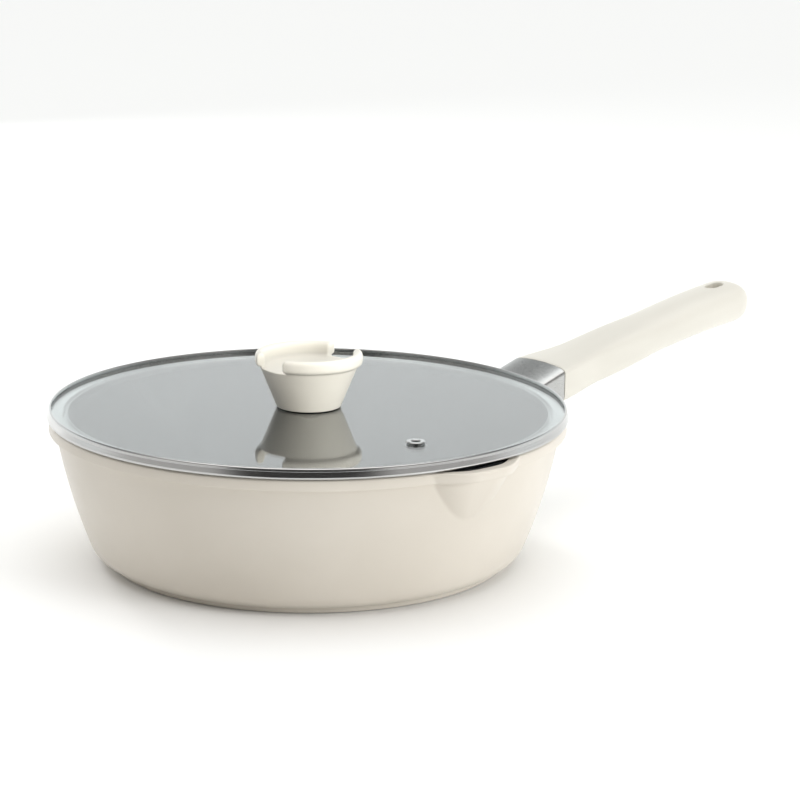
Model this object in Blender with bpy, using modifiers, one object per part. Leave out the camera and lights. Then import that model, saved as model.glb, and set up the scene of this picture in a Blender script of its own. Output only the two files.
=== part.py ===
"""Cast saute pan, 28 cm, with a flat glass lid. Metres, +Z up.

The origin is the centre of the underside. The handle points along +X and the pouring
spouts point along -Y and +Y.
"""

import math

import bmesh
import bpy

# Driving dimensions
CIRCLE_STEPS = 72
MEDIUM_STEPS = 32
SMALL_STEPS = 24
CLEARANCE = 0.0003
CUTTER_OVERLAP = 0.005

PAN_HEIGHT = 0.0804
RIM_RADIUS = 0.14425
RIM_BAND_HEIGHT = 0.0058
RIM_MOUTH_RADIUS = 0.1373
WALL_TOP_RADIUS = 0.1404
WALL_TOP_SLOPE = 0.17
WALL_CURVATURE = 3.51
WALL_THICKNESS = 0.0042
FLOOR_THICKNESS = 0.005
CORNER_START_Z = 0.011
CORNER_RADIUS = 0.013
FOOT_RADIUS = 0.1120
FOOT_HEIGHT = 0.0026

SPOUT_ANGLES = (-math.pi / 2, math.pi / 2)
SPOUT_HALF_ANGLE = math.radians(12.5)
SPOUT_REACH = 0.0102
SPOUT_FOOT_Z = 0.050
SPOUT_FLANK = 0.75
SPOUT_CRISPNESS = 0.7

PLATE_RADIUS = 0.090
PLATE_THICKNESS = 0.0015

FERRULE_START_X = 0.134
FERRULE_END_X = 0.177
FERRULE_WALL = 0.001
FERRULE_TOP_SLOPE = 0.34
FERRULE_BOTTOM_SLOPE = 0.20
GRIP_END_X = 0.349
GRIP_START_Z = 0.0754
GRIP_END_Z = 0.1055
GRIP_START_SLOPE = 0.150
GRIP_END_SLOPE = 0.074
JOINT_HALF_WIDTH = 0.0222
JOINT_HALF_HEIGHT = 0.0116
JOINT_CROWN = 0.0018
JOINT_POWER = 8.0
GRIP_HALF_WIDTHS = (0.0172, 0.0172)
GRIP_HALF_HEIGHTS = (0.0104, 0.0130)
GRIP_POWER = 2.6
GRIP_SETTLE = 0.22
GRIP_EASE = 0.55
GRIP_END_ROUND = 0.017
GRIP_END_POWER = 2.6
GRIP_TIP_ANGLE = math.radians(88)
GRIP_STATIONS = 14
GRIP_END_STATIONS = 7
SECTION_POINTS = 32
HANG_HOLE_X = 0.328
HANG_HOLE_LENGTH = 0.013
HANG_HOLE_WIDTH = 0.0085

TONGUE_START = (0.1372, 0.0660)
TONGUE_END = (0.212, 0.0822)
TONGUE_WIDTH = 0.020
TONGUE_HEIGHT = 0.0092
TONGUE_CHAMFER = 0.0015
SOCKET_END_ROOM = 0.0015
SCREW_X = 0.198
SCREW_RADIUS = 0.0025
SCREW_HEAD_RADIUS = 0.0042
SCREW_HEAD_HEIGHT = 0.0022
SCREW_REACH = 0.0024
SEAT_WALL = 0.0015
HEAD_ROOM = 0.0008
WASHER_MARGIN = 0.0004
FLAT_WASHER_THICKNESS = 0.0007
LOCK_WASHER_THICKNESS = 0.0009

BAND_RADIUS = 0.145
BAND_TOP_Z = 0.087
BAND_BOTTOM_Z = 0.0808
BAND_SHEET = 0.0006
BAND_WALL = 0.0008
BAND_LIP_RADIUS = 0.1428
BAND_GROOVE_HEIGHT = 0.0003
BAND_GROOVE_DEPTH = 0.0030
SKIRT_OUTER_RADIUS = 0.1366
SKIRT_INNER_RADIUS = 0.1334
SKIRT_BOTTOM_Z = 0.0770
GLASS_TOP_Z = 0.0849
GLASS_THICKNESS = 0.0032
GLASS_RADIUS = 0.1438
GLASS_HOLE_RADIUS = 0.005
GLASS_BOTTOM_Z = GLASS_TOP_Z - GLASS_THICKNESS

VENT_RADIUS = 0.1006
VENT_ANGLE = math.radians(-94.2)
VENT_HOLE_RADIUS = 0.0037
VENT_BARREL_RADIUS = 0.0032
VENT_BORE_RADIUS = 0.0024
VENT_FLANGE_RADIUS = 0.0052
VENT_FLANGE_HEIGHT = 0.0011
VENT_GASKET_RADIUS = 0.0060
VENT_GASKET_THICKNESS = 0.0009
VENT_WASHER_RADIUS = 0.0056
VENT_WASHER_THICKNESS = 0.0006

KNOB_BASE_RADIUS = 0.0182
KNOB_WAIST_TOP_RADIUS = 0.0275
KNOB_RING_OUTER = 0.0300
KNOB_RING_INNER = 0.0250
KNOB_HEIGHT = 0.0312
KNOB_CONE_HEIGHT = 0.0236
KNOB_NOTCH_WIDTH = 0.022
KNOB_BOTTOM_Z = GLASS_TOP_Z + 0.0004
KNOB_RECESS_RADIUS = 0.0165
KNOB_RECESS_Z = GLASS_TOP_Z + 0.0014
KNOB_BORE_RADIUS = 0.0043
INSERT_LENGTH = 0.0125
KNOB_SCREW_RADIUS = 0.002
KNOB_SCREW_REACH = 0.010
KNOB_SEAL_RADIUS = 0.012
KNOB_WASHER_RADIUS = 0.0105
KNOB_WASHER_THICKNESS = 0.001
KNOB_LOCK_WASHER_RADIUS = 0.0039
KNOB_SEAL_BORE = 0.0058
KNOB_SEAL_THICKNESS = 0.001


def clear_scene():
    for obj in list(bpy.data.objects):
        bpy.data.objects.remove(obj, do_unlink=True)


def make_collection(name):
    collection = bpy.data.collections.new(name)
    bpy.context.scene.collection.children.link(collection)
    return collection


def make_material(name, color, roughness, metallic=0.0, transmission=0.0):
    material = bpy.data.materials.new(name)
    material.use_nodes = True
    shader = material.node_tree.nodes["Principled BSDF"]
    shader.inputs["Base Color"].default_value = (*color, 1.0)
    shader.inputs["Roughness"].default_value = roughness
    shader.inputs["Metallic"].default_value = metallic
    shader.inputs["Transmission Weight"].default_value = transmission
    return material


def make_object(name, mesh, collection, finish=None):
    """An object. A finish gives it a material of its own, named after it."""
    obj = bpy.data.objects.new(name, mesh)
    collection.objects.link(obj)
    if finish:
        mesh.materials.append(make_material(name + "_finish", **finish))
    return obj


def make_cutter(name, mesh):
    obj = make_object(name, mesh, cutters)
    obj.hide_render = True
    obj.display_type = "WIRE"
    return obj


def mesh_from_bmesh(name, shape):
    bmesh.ops.recalc_face_normals(shape, faces=shape.faces)
    mesh = bpy.data.meshes.new(name)
    shape.to_mesh(mesh)
    shape.free()
    return mesh


def arc(centre, radius, start, end, count):
    """Points on a circle in the (radius, height) plane, angles in degrees."""
    points = []
    for i in range(count):
        angle = math.radians(start + (end - start) * i / (count - 1))
        points.append((centre[0] + radius * math.cos(angle), centre[1] + radius * math.sin(angle)))
    return points


def turned_mesh(name, profile, steps, is_ring):
    """Turns a profile about Z. A ring's profile closes on itself; any other ends on the axis."""
    outline = bpy.data.meshes.new(name + "_profile")
    edges = [(i, i + 1) for i in range(len(profile) - 1)]
    if is_ring:
        edges.append((len(profile) - 1, 0))
    outline.from_pydata([(radius, 0.0, z) for radius, z in profile], edges, [])
    turner = bpy.data.objects.new(name + "_turner", outline)
    cutters.objects.link(turner)
    screw = turner.modifiers.new("Turn", "SCREW")
    screw.axis = "Z"
    screw.angle = 2 * math.pi
    screw.steps = steps
    screw.render_steps = steps
    screw.use_merge_vertices = True
    screw.merge_threshold = 0.00001
    screw.use_smooth_shade = True
    graph = bpy.context.evaluated_depsgraph_get()
    mesh = bpy.data.meshes.new_from_object(turner.evaluated_get(graph))
    mesh.name = name
    bpy.data.objects.remove(turner, do_unlink=True)
    mesh.set_sharp_from_angle(angle=math.radians(35))
    return mesh


def turned(name, profile, finish, steps=CIRCLE_STEPS, is_ring=True):
    return make_object(name, turned_mesh(name, profile, steps, is_ring), parts, finish)


def ring_profile(inner, outer, bottom, top):
    """A flat ring's section, listed down its outer side."""
    return [(outer, top), (outer, bottom), (inner, bottom), (inner, top)]


def cylinder_mesh(name, radius, bottom, top, centre=(0.0, 0.0), steps=SMALL_STEPS):
    shape = bmesh.new()
    bmesh.ops.create_cone(
        shape, cap_ends=True, segments=steps, radius1=radius, radius2=radius, depth=top - bottom
    )
    bmesh.ops.translate(shape, verts=shape.verts, vec=(*centre, (top + bottom) / 2))
    return mesh_from_bmesh(name, shape)


def box_mesh(name, size, centre):
    shape = bmesh.new()
    bmesh.ops.create_cube(shape, size=1.0)
    bmesh.ops.scale(shape, verts=shape.verts, vec=size)
    bmesh.ops.translate(shape, verts=shape.verts, vec=centre)
    return mesh_from_bmesh(name, shape)


def loft_mesh(name, sections):
    """A closed solid through rings of points that all have the same number of points."""
    shape = bmesh.new()
    rings = [[shape.verts.new(point) for point in section] for section in sections]
    count = len(rings[0])
    for ring, following in zip(rings, rings[1:]):
        for i in range(count):
            j = (i + 1) % count
            face = shape.faces.new((ring[i], ring[j], following[j], following[i]))
            face.smooth = True
    shape.faces.new(rings[0])
    shape.faces.new(rings[-1])
    return mesh_from_bmesh(name, shape)


def apply_boolean(obj, cutter, operation="DIFFERENCE"):
    boolean = obj.modifiers.new(operation.title(), "BOOLEAN")
    boolean.operation = operation
    boolean.object = cutter
    boolean.solver = "EXACT"


def blend(start, end, t):
    return start + (end - start) * t


def smooth_step(t):
    t = min(max(t, 0.0), 1.0)
    return t * t * (3 - 2 * t)


# Pan


def wall_radius(z):
    """Radius of the pan's outer wall: the wall curves in slowly from the rim to the base."""
    depth = PAN_HEIGHT - RIM_BAND_HEIGHT - z
    return WALL_TOP_RADIUS - WALL_TOP_SLOPE * depth - WALL_CURVATURE / 2 * depth * depth


def corner_arc():
    """Centre of the outer bottom corner, and the angle at which its arc leaves the wall."""
    slope = WALL_TOP_SLOPE + WALL_CURVATURE * (PAN_HEIGHT - RIM_BAND_HEIGHT - CORNER_START_Z)
    angle = -math.atan(slope)
    centre = (
        wall_radius(CORNER_START_Z) - CORNER_RADIUS * math.cos(angle),
        CORNER_START_Z - CORNER_RADIUS * math.sin(angle),
    )
    return centre, math.degrees(angle)


def pan_outer_profile():
    """Down the outer side, from the rim's top to the foot."""
    rim_round = 0.0011
    foot_edge = 0.0006
    band_bottom = PAN_HEIGHT - RIM_BAND_HEIGHT
    wall_start = band_bottom - 0.0012
    wall_count = 5
    points = arc((RIM_RADIUS - rim_round, PAN_HEIGHT - rim_round), rim_round, 90, 0, 3)
    points += arc((RIM_RADIUS - rim_round, band_bottom + rim_round), rim_round, 0, -60, 2)
    for i in range(wall_count):
        z = blend(wall_start, CORNER_START_Z, i / wall_count)
        points.append((wall_radius(z), z))
    centre, angle = corner_arc()
    points += arc(centre, CORNER_RADIUS, angle, -80, 5)
    points += [(FOOT_RADIUS, FOOT_HEIGHT), (FOOT_RADIUS, foot_edge), (FOOT_RADIUS - foot_edge, 0.0)]
    return points


def pan_inner_profile():
    """Up the inner side, from the centre of the floor to the mouth."""
    round_radius = 0.016
    mouth_round = 0.001
    above_round = 0.006
    wall_count = 4
    floor_edge = wall_radius(FLOOR_THICKNESS + round_radius) - WALL_THICKNESS - round_radius
    points = [(0.0, FLOOR_THICKNESS)]
    points += arc((floor_edge, FLOOR_THICKNESS + round_radius), round_radius, -90, -20, 4)
    start_z = points[-1][1] + above_round
    for i in range(wall_count):
        z = blend(start_z, PAN_HEIGHT - RIM_BAND_HEIGHT, i / (wall_count - 1))
        points.append((wall_radius(z) - WALL_THICKNESS, z))
    points.append((RIM_MOUTH_RADIUS, PAN_HEIGHT - mouth_round))
    points.append((RIM_MOUTH_RADIUS + mouth_round, PAN_HEIGHT))
    return points


def spout_push(x, y, z):
    """How far the wall stands out at a point, in the two funnel-shaped spouts."""
    height = (z - SPOUT_FOOT_Z) / (PAN_HEIGHT - SPOUT_FOOT_Z)
    if height <= 0:
        return 0.0
    half_angle = SPOUT_HALF_ANGLE * math.sqrt(min(height, 1.0))
    angle = math.atan2(y, x)
    away = min(abs(angle - spout) for spout in SPOUT_ANGLES)
    t = min(max((1 - away / half_angle) / SPOUT_FLANK, 0.0), 1.0)
    crisp = 1 - (1 - t) ** 2
    return SPOUT_REACH * height**0.9 * blend(smooth_step(t), crisp, SPOUT_CRISPNESS)


def push_spouts(mesh):
    for vertex in mesh.vertices:
        x, y, z = vertex.co
        radius = math.hypot(x, y)
        push = spout_push(x, y, z)
        if push > 0:
            vertex.co.x = x * (radius + push) / radius
            vertex.co.y = y * (radius + push) / radius


def tongue_height_at(x):
    t = (x - TONGUE_START[0]) / (TONGUE_END[0] - TONGUE_START[0])
    return blend(TONGUE_START[1], TONGUE_END[1], t)


def tongue_section(x, extra):
    """Corners of the tongue's rectangular section, with a margin on every side."""
    z = tongue_height_at(x)
    half_width = TONGUE_WIDTH / 2 + extra
    half_height = TONGUE_HEIGHT / 2 + extra
    corners = []
    for side_y, side_z in ((1, 1), (-1, 1), (-1, -1), (1, -1)):
        inner = (x, side_y * (half_width - TONGUE_CHAMFER), z + side_z * half_height)
        outer = (x, side_y * half_width, z + side_z * (half_height - TONGUE_CHAMFER))
        corners += [inner, outer] if side_y * side_z < 0 else [outer, inner]
    return corners


def make_pan_body(finish):
    recess_radius = PLATE_RADIUS + CLEARANCE
    recess_z = PLATE_THICKNESS + CLEARANCE
    profile = pan_inner_profile() + pan_outer_profile()
    profile += [(recess_radius, 0.0), (recess_radius, recess_z), (0.0, recess_z)]
    pan = turned("pan_body", profile, finish, is_ring=False)
    push_spouts(pan.data)
    ends = [tongue_section(x, 0.0) for x in (TONGUE_START[0], TONGUE_END[0])]
    apply_boolean(pan, make_cutter("tongue_shape", loft_mesh("tongue", ends)), "UNION")
    tongue_z = tongue_height_at(SCREW_X)
    thread_bottom = tongue_z - TONGUE_HEIGHT
    thread_top = tongue_z + SCREW_REACH + 2 * CLEARANCE
    thread = cylinder_mesh(
        "thread", SCREW_RADIUS + CLEARANCE, thread_bottom, thread_top, (SCREW_X, 0.0)
    )
    apply_boolean(pan, make_cutter("tongue_thread_cutter", thread))
    return pan


def make_base_plate(finish):
    edge = 0.0003
    profile = [
        (0.0, PLATE_THICKNESS),
        (PLATE_RADIUS, PLATE_THICKNESS),
        (PLATE_RADIUS, edge),
        (PLATE_RADIUS - edge, 0.0),
        (0.0, 0.0),
    ]
    return turned("base_plate", profile, finish, is_ring=False)


# Handle


def handle_section(x, z, half_width, half_height, power, crown):
    """A rounded box or oval across the handle: the higher the power, the squarer it is.

    The crown is how much lower the top is at its corners than in its middle.
    """
    points = []
    for i in range(SECTION_POINTS):
        angle = 2 * math.pi * (i + 0.5) / SECTION_POINTS
        across = math.copysign(abs(math.cos(angle)) ** (2 / power), math.cos(angle))
        up = math.copysign(abs(math.sin(angle)) ** (2 / power), math.sin(angle))
        points.append((x, half_width * across, z + (half_height - crown * across**2) * up))
    return points


def ferrule_section(x, inset):
    """The steel sleeve grows from the pan to the grip, and its top slopes more than its bottom."""
    back = FERRULE_END_X - x
    top = GRIP_START_Z + JOINT_HALF_HEIGHT - FERRULE_TOP_SLOPE * back
    bottom = GRIP_START_Z - JOINT_HALF_HEIGHT - FERRULE_BOTTOM_SLOPE * back
    half_width = JOINT_HALF_WIDTH - inset
    half_height = (top - bottom) / 2 - inset
    return handle_section(x, (top + bottom) / 2, half_width, half_height, JOINT_POWER, JOINT_CROWN)


def grip_centre_z(x):
    """Height of the grip's centre line: a gentle S from the ferrule to the tip."""
    length = GRIP_END_X - FERRULE_END_X
    t = (x - FERRULE_END_X) / length
    return (
        GRIP_START_Z * (2 * t**3 - 3 * t**2 + 1)
        + GRIP_START_SLOPE * length * (t**3 - 2 * t**2 + t)
        + GRIP_END_Z * (3 * t**2 - 2 * t**3)
        + GRIP_END_SLOPE * length * (t**3 - t**2)
    )


def grip_section(x):
    t = (x - FERRULE_END_X) / (GRIP_END_X - FERRULE_END_X)
    settle = smooth_step(t / GRIP_SETTLE)
    ease = smooth_step(t / GRIP_EASE)
    half_width = blend(JOINT_HALF_WIDTH, blend(*GRIP_HALF_WIDTHS, t), settle)
    half_height = blend(JOINT_HALF_HEIGHT, blend(*GRIP_HALF_HEIGHTS, t), settle)
    to_end = (GRIP_END_X - x) / GRIP_END_ROUND
    if to_end < 1:
        half_width *= (1 - (1 - to_end) ** GRIP_END_POWER) ** (1 / GRIP_END_POWER)
        half_height *= math.sqrt(1 - (1 - to_end) ** 3)
    power = blend(JOINT_POWER, GRIP_POWER, ease)
    return handle_section(x, grip_centre_z(x), half_width, half_height, power, JOINT_CROWN * (1 - ease))


def grip_stations():
    """Stations along the grip, closer together where its end is rounded."""
    start = FERRULE_END_X + CLEARANCE
    round_start = GRIP_END_X - GRIP_END_ROUND
    stations = [blend(start, round_start, i / GRIP_STATIONS) for i in range(GRIP_STATIONS)]
    for i in range(GRIP_END_STATIONS + 1):
        angle = GRIP_TIP_ANGLE * i / GRIP_END_STATIONS
        stations.append(round_start + GRIP_END_ROUND * math.sin(angle))
    return stations


def hanging_hole_mesh():
    """A vertical slot with round ends."""
    radius = HANG_HOLE_WIDTH / 2
    half_run = HANG_HOLE_LENGTH / 2 - radius
    reach = 3 * JOINT_HALF_HEIGHT
    outline = arc((HANG_HOLE_X + half_run, 0.0), radius, -90, 90, 9)
    outline += arc((HANG_HOLE_X - half_run, 0.0), radius, 90, 270, 9)
    ends = [[(x, y, GRIP_END_Z + side * reach) for x, y in outline] for side in (-1, 1)]
    return loft_mesh("hanging_hole", ends)


def screw_seat_z():
    """Underside of the wall that the handle screw clamps, below the socket."""
    return tongue_height_at(SCREW_X) - TONGUE_HEIGHT / 2 - SEAT_WALL


def make_handle_grip(finish):
    mesh = loft_mesh("handle_grip", [grip_section(x) for x in grip_stations()])
    mesh.set_sharp_from_angle(angle=math.radians(35))
    grip = make_object("handle_grip", mesh, parts, finish)
    screw_centre = (SCREW_X, 0.0)
    seat_radius = SCREW_HEAD_RADIUS + HEAD_ROOM
    seat_z = screw_seat_z()
    below_grip = seat_z - JOINT_HALF_HEIGHT
    past_ends = (FERRULE_END_X - CUTTER_OVERLAP, TONGUE_END[0] + SOCKET_END_ROOM)
    socket = loft_mesh("socket", [tongue_section(x, CLEARANCE) for x in past_ends])
    apply_boolean(grip, make_cutter("grip_socket_cutter", socket))
    bore = cylinder_mesh(
        "bore", SCREW_RADIUS + CLEARANCE, below_grip, tongue_height_at(SCREW_X), screw_centre
    )
    apply_boolean(grip, make_cutter("grip_screw_cutter", bore))
    seat = cylinder_mesh("seat", seat_radius, below_grip - CUTTER_OVERLAP, seat_z, screw_centre)
    apply_boolean(grip, make_cutter("grip_seat_cutter", seat))
    apply_boolean(grip, make_cutter("grip_hanging_hole_cutter", hanging_hole_mesh()))
    return grip


def wall_clearance_mesh():
    """The pan's outer wall from the foot up, grown by the clearance and carried past the rim."""
    above_rim = PAN_HEIGHT + 4 * CUTTER_OVERLAP
    wall_top = PAN_HEIGHT - RIM_BAND_HEIGHT
    profile = [(0.0, above_rim), (RIM_RADIUS + CLEARANCE, above_rim)]
    for i in range(9):
        z = blend(wall_top, CORNER_START_Z, i / 8)
        radius = RIM_RADIUS if i == 0 else wall_radius(z)
        profile.append((radius + CLEARANCE, z))
    profile.append((0.0, CORNER_START_Z))
    return turned_mesh("pan_clearance", profile, CIRCLE_STEPS, False)


def make_handle_ferrule(finish):
    stations = [blend(FERRULE_START_X, FERRULE_END_X, i / 3) for i in range(4)]
    mesh = loft_mesh("handle_ferrule", [ferrule_section(x, 0.0) for x in stations])
    mesh.set_sharp_from_angle(angle=math.radians(35))
    ferrule = make_object("handle_ferrule", mesh, parts, finish)
    past_ends = (FERRULE_START_X - CUTTER_OVERLAP, FERRULE_END_X + CUTTER_OVERLAP)
    inside = loft_mesh("ferrule_inside", [ferrule_section(x, FERRULE_WALL) for x in past_ends])
    apply_boolean(ferrule, make_cutter("ferrule_inside_cutter", inside))
    apply_boolean(ferrule, make_cutter("ferrule_pan_cutter", wall_clearance_mesh()))
    return ferrule


def flat_washer(name, inner, outer, top, thickness, finish, centre=(0.0, 0.0)):
    washer = turned(name, ring_profile(inner, outer, top - thickness, top), finish, SMALL_STEPS)
    washer.location = (*centre, 0.0)
    return washer


def split_washer(name, inner, outer, top, finish, centre=(0.0, 0.0)):
    """A spring washer: a ring with a narrow cut."""
    washer = flat_washer(name, inner, outer, top, LOCK_WASHER_THICKNESS, finish, centre)
    cut_size = (outer, LOCK_WASHER_THICKNESS, 4 * LOCK_WASHER_THICKNESS)
    cut = box_mesh(name + "_cut", cut_size, (centre[0] + (inner + outer) / 2, centre[1], top))
    apply_boolean(washer, make_cutter(name + "_cutter", cut))
    return washer


def machine_screw(name, centre, head_top, shank_top, shank_radius, finish):
    """A pan-head screw with its head down, and a cross recess in the head."""
    head_radius = SCREW_HEAD_RADIUS
    head_bottom = head_top - SCREW_HEAD_HEIGHT
    rounding = 0.0007
    tip = 0.0005
    profile = [
        (0.0, shank_top),
        (shank_radius - tip, shank_top),
        (shank_radius, shank_top - tip),
        (shank_radius, head_top),
        (head_radius, head_top),
        (head_radius, head_bottom + rounding),
        (head_radius - rounding, head_bottom),
        (0.0, head_bottom),
    ]
    screw = turned(name, profile, finish, SMALL_STEPS, is_ring=False)
    screw.location = (*centre, 0.0)
    arm = 0.0046
    width = 0.001
    depth = 0.0012
    for turn, size in enumerate(((arm, width, 2 * depth), (width, arm, 2 * depth))):
        recess = box_mesh(f"{name}_recess_{turn}", size, (*centre, head_bottom))
        apply_boolean(screw, make_cutter(f"{name}_recess_cutter_{turn}", recess))
    return screw


def make_handle_fasteners(finish):
    """Flat washer, spring washer and screw, from the seat down."""
    centre = (SCREW_X, 0.0)
    inner = SCREW_RADIUS + CLEARANCE
    flat_top = screw_seat_z() - CLEARANCE
    spring_top = flat_top - FLAT_WASHER_THICKNESS - CLEARANCE
    head_top = spring_top - LOCK_WASHER_THICKNESS - CLEARANCE
    shank_top = tongue_height_at(SCREW_X) + SCREW_REACH
    outer = SCREW_HEAD_RADIUS + WASHER_MARGIN
    flat_washer("handle_flat_washer", inner, outer, flat_top, FLAT_WASHER_THICKNESS, finish, centre)
    split_washer("handle_lock_washer", inner, SCREW_HEAD_RADIUS, spring_top, finish, centre)
    machine_screw("handle_screw", centre, head_top, shank_top, SCREW_RADIUS, finish)


# Lid


def make_lid_band(finish):
    """One sheet: lip over the glass edge, outer wall, flange under the glass and locating skirt."""
    sheet = BAND_SHEET
    rounding = 0.0006
    corner = 0.0007
    wall_inner = BAND_RADIUS - BAND_WALL
    flange_top = BAND_BOTTOM_Z + sheet
    lip_bottom = GLASS_TOP_Z + CLEARANCE
    skirt_floor = SKIRT_BOTTOM_Z + sheet
    groove_radius = BAND_RADIUS - BAND_GROOVE_DEPTH
    groove_z = BAND_BOTTOM_Z + BAND_GROOVE_HEIGHT
    channel_outer = SKIRT_OUTER_RADIUS - sheet
    channel_inner = SKIRT_INNER_RADIUS + sheet
    profile = arc((BAND_RADIUS - rounding, BAND_TOP_Z - rounding), rounding, 90, 0, 2)
    profile += [(BAND_RADIUS, groove_z + corner), (BAND_RADIUS - corner, groove_z)]
    profile += [(groove_radius, groove_z), (groove_radius, BAND_BOTTOM_Z)]
    profile += [(SKIRT_OUTER_RADIUS, BAND_BOTTOM_Z)]
    profile += [(SKIRT_OUTER_RADIUS, SKIRT_BOTTOM_Z + rounding)]
    profile += [(SKIRT_OUTER_RADIUS - rounding, SKIRT_BOTTOM_Z)]
    profile += [(SKIRT_INNER_RADIUS + rounding, SKIRT_BOTTOM_Z)]
    profile += [(SKIRT_INNER_RADIUS, SKIRT_BOTTOM_Z + rounding), (SKIRT_INNER_RADIUS, BAND_BOTTOM_Z)]
    profile += [(channel_inner, BAND_BOTTOM_Z), (channel_inner, skirt_floor)]
    profile += [(channel_outer, skirt_floor), (channel_outer, flange_top)]
    profile += [(wall_inner, flange_top), (wall_inner, lip_bottom), (BAND_LIP_RADIUS, lip_bottom)]
    profile += arc((BAND_LIP_RADIUS + rounding, BAND_TOP_Z - rounding), rounding, 180, 90, 2)
    return turned("lid_band", profile, finish)


def vent_centre():
    return (VENT_RADIUS * math.cos(VENT_ANGLE), VENT_RADIUS * math.sin(VENT_ANGLE))


def make_lid_glass(finish):
    edge = 0.0005
    profile = [
        (GLASS_RADIUS - edge, GLASS_TOP_Z),
        (GLASS_RADIUS, GLASS_TOP_Z - edge),
        (GLASS_RADIUS, GLASS_BOTTOM_Z + edge),
        (GLASS_RADIUS - edge, GLASS_BOTTOM_Z),
        (GLASS_HOLE_RADIUS, GLASS_BOTTOM_Z),
        (GLASS_HOLE_RADIUS, GLASS_TOP_Z),
    ]
    glass = turned("lid_glass", profile, finish)
    below = GLASS_BOTTOM_Z - CUTTER_OVERLAP
    above = GLASS_TOP_Z + CUTTER_OVERLAP
    vent = cylinder_mesh("vent_hole", VENT_HOLE_RADIUS, below, above, vent_centre())
    apply_boolean(glass, make_cutter("glass_vent_cutter", vent))
    return glass


def make_vent(steel, rubber):
    """A steel eyelet riveted over a washer, with a soft ring against the glass."""
    bore = VENT_BORE_RADIUS
    barrel = VENT_BARREL_RADIUS
    flange = VENT_FLANGE_RADIUS
    gasket_top = GLASS_BOTTOM_Z - CLEARANCE
    washer_top = gasket_top - VENT_GASKET_THICKNESS - CLEARANCE
    flare_top = washer_top - VENT_WASHER_THICKNESS - CLEARANCE
    flare_bottom = flare_top - 0.0006
    flange_bottom = GLASS_TOP_Z + CLEARANCE
    flange_top = flange_bottom + VENT_FLANGE_HEIGHT
    profile = [
        (bore + 0.0007, flange_top),
        (flange - 0.0012, flange_top),
        (flange, flange_bottom + 0.0004),
        (flange, flange_bottom),
        (barrel, flange_bottom),
        (barrel, flare_top),
        (barrel + 0.0016, flare_top),
        (barrel + 0.0014, flare_bottom),
        (bore + 0.0003, flare_bottom),
        (bore, flare_bottom + 0.0004),
        (bore, flange_top - 0.0008),
    ]
    eyelet = turned("vent_eyelet", profile, steel, SMALL_STEPS)
    eyelet.location = (*vent_centre(), 0.0)
    inner = barrel + CLEARANCE
    for name, outer, top, thickness, finish in (
        ("vent_gasket", VENT_GASKET_RADIUS, gasket_top, VENT_GASKET_THICKNESS, rubber),
        ("vent_washer", VENT_WASHER_RADIUS, washer_top, VENT_WASHER_THICKNESS, steel),
    ):
        flat_washer(name, inner, outer, top, thickness, finish, vent_centre())


def knob_profile():
    """Tray floor, round-topped ring, cone and underside with the recess for the seal."""
    ring_half = (KNOB_RING_OUTER - KNOB_RING_INNER) / 2
    top = KNOB_BOTTOM_Z + KNOB_HEIGHT
    ring_bottom = KNOB_BOTTOM_Z + KNOB_CONE_HEIGHT
    lower_round = 0.0018
    foot_edge = 0.0008
    tray_z = ring_bottom - 0.0014
    bore_top = KNOB_RECESS_Z + INSERT_LENGTH + 2 * CLEARANCE + 0.0004
    points = [(0.0, tray_z), (0.012, tray_z + 0.0002), (0.021, tray_z + 0.0009)]
    points.append((KNOB_RING_INNER - 0.0008, ring_bottom + 0.0006))
    points.append((KNOB_RING_INNER, ring_bottom + 0.0018))
    points += arc((KNOB_RING_INNER + ring_half, top - ring_half), ring_half, 180, 0, 7)
    points += arc((KNOB_RING_OUTER - lower_round, ring_bottom + lower_round), lower_round, 0, -80, 4)
    points.append((KNOB_WAIST_TOP_RADIUS, ring_bottom))
    points.append((KNOB_BASE_RADIUS, KNOB_BOTTOM_Z + foot_edge))
    points.append((KNOB_BASE_RADIUS - foot_edge, KNOB_BOTTOM_Z))
    points += [(KNOB_RECESS_RADIUS, KNOB_BOTTOM_Z), (KNOB_RECESS_RADIUS, KNOB_RECESS_Z)]
    points += [(KNOB_BORE_RADIUS, KNOB_RECESS_Z), (KNOB_BORE_RADIUS, bore_top), (0.0, bore_top)]
    return points


def make_knob(finish):
    knob = turned("knob", knob_profile(), finish, 40, is_ring=False)
    notch_floor = KNOB_BOTTOM_Z + KNOB_CONE_HEIGHT - 0.0003
    height = KNOB_HEIGHT
    size = (3 * KNOB_RING_OUTER, KNOB_NOTCH_WIDTH, height)
    notch = box_mesh("notch", size, (0.0, 0.0, notch_floor + height / 2))
    apply_boolean(knob, make_cutter("knob_notch_cutter", notch))
    return knob


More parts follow.
